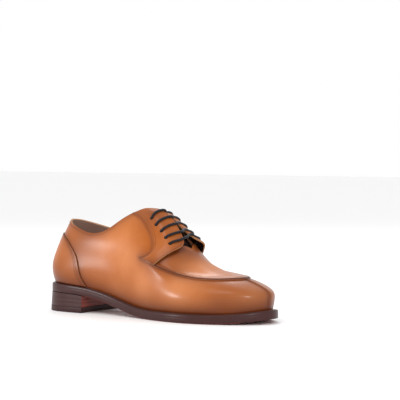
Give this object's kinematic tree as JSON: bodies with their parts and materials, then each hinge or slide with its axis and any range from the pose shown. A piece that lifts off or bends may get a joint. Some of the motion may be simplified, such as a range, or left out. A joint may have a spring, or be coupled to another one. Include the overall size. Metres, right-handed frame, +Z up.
{
  "type": "apron toe derby shoe, right foot",
  "caption": "Right apron toe derby shoe, laced and empty, with open lace flaps, heel counter, welted leather sole and stacked heel.",
  "frame": {"origin": "middle of the shoe's footprint, on the floor", "axes": "+X towards the toe, +Y towards the inner (medial) side of the right foot, +Z up"},
  "size_m": [0.2962, 0.1026, 0.1202],
  "materials": {
    "tan_leather": "polished tan calf, burnished darker at the seams, toe and heel",
    "lining_leather": "dark brown lining leather",
    "sole_leather": "stained sole leather, satin",
    "dark_edge": "waxed dark brown edge",
    "heel_rubber": "matt rubber",
    "lace_cotton": "waxed round cotton"
  },
  "bodies": {
    "root": {"outsole": "sole_leather", "welt": "dark_edge", "heel": "dark_edge", "top_piece": "heel_rubber", "insole": "lining_leather", "upper": "tan_leather", "counter": "tan_leather", "apron": "tan_leather", "tongue": "tan_leather", "facing_lateral": "tan_leather", "facing_medial": "tan_leather", "lace_bar_1": "lace_cotton", "lace_bar_2": "lace_cotton", "lace_bar_3": "lace_cotton", "lace_bar_4": "lace_cotton", "lace_bar_5": "lace_cotton"}
  },
  "joints": []
}
